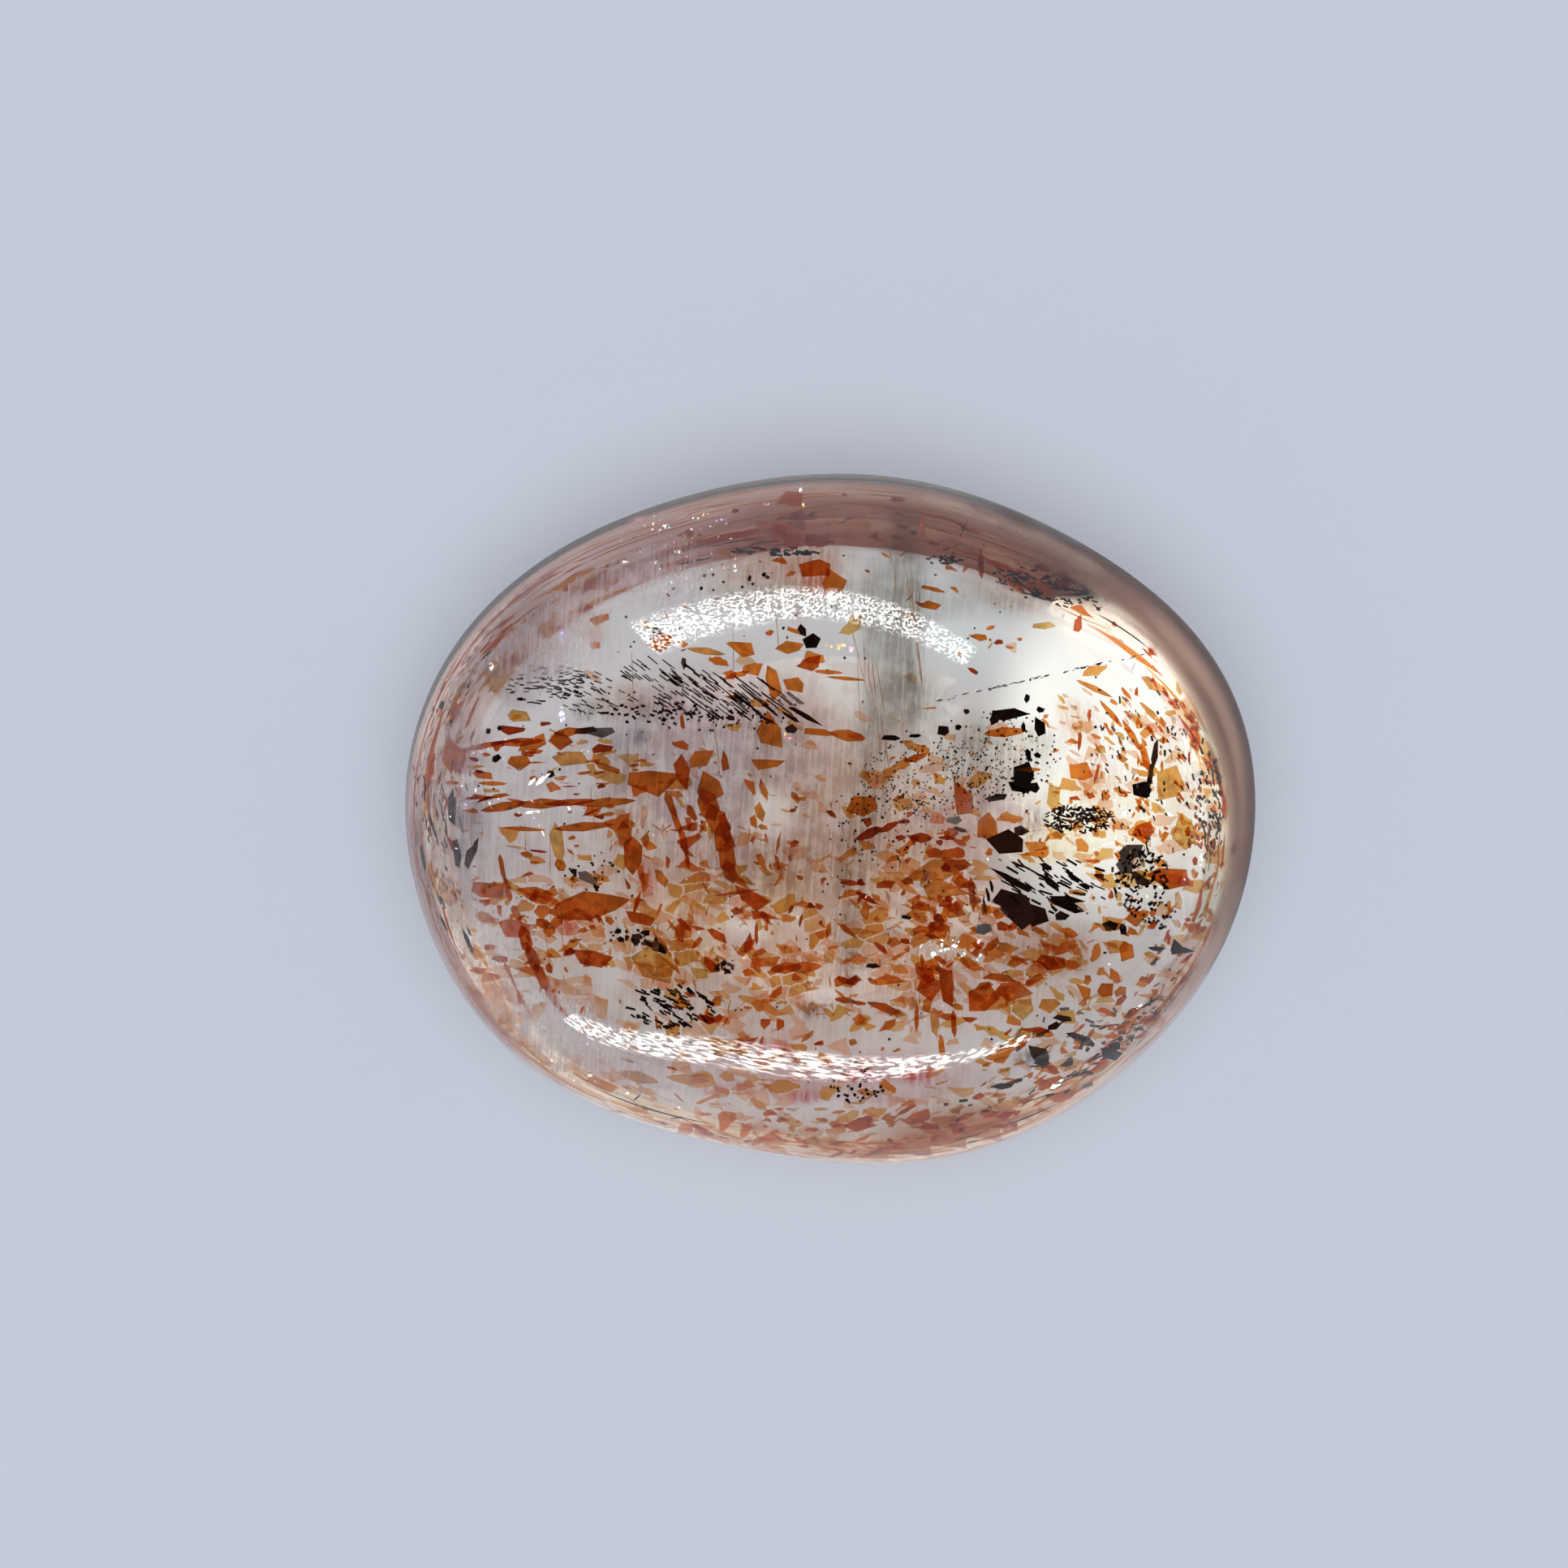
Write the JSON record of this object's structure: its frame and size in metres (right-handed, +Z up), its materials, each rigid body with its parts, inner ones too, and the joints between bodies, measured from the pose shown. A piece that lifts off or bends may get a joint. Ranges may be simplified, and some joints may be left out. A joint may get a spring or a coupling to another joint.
{
  "type": "sunstone cabochon",
  "caption": "Oval double cabochon of clear feldspar full of orange hematite flakes, lying dome up on the small polished flat of its underside.",
  "frame": {"origin": "under the middle of the stone's bounding box, at the height of the flat that it lies on", "axes": "+X along the length of the oval, +Y along its width, +Z up from the flat through the crown of the dome"},
  "size_m": [0.011, 0.009, 0.0056],
  "materials": {
    "clear_feldspar": "polished",
    "hematite_flakes": "satin"
  },
  "bodies": {
    "root": {"sunstone": "clear_feldspar"}
  },
  "joints": []
}
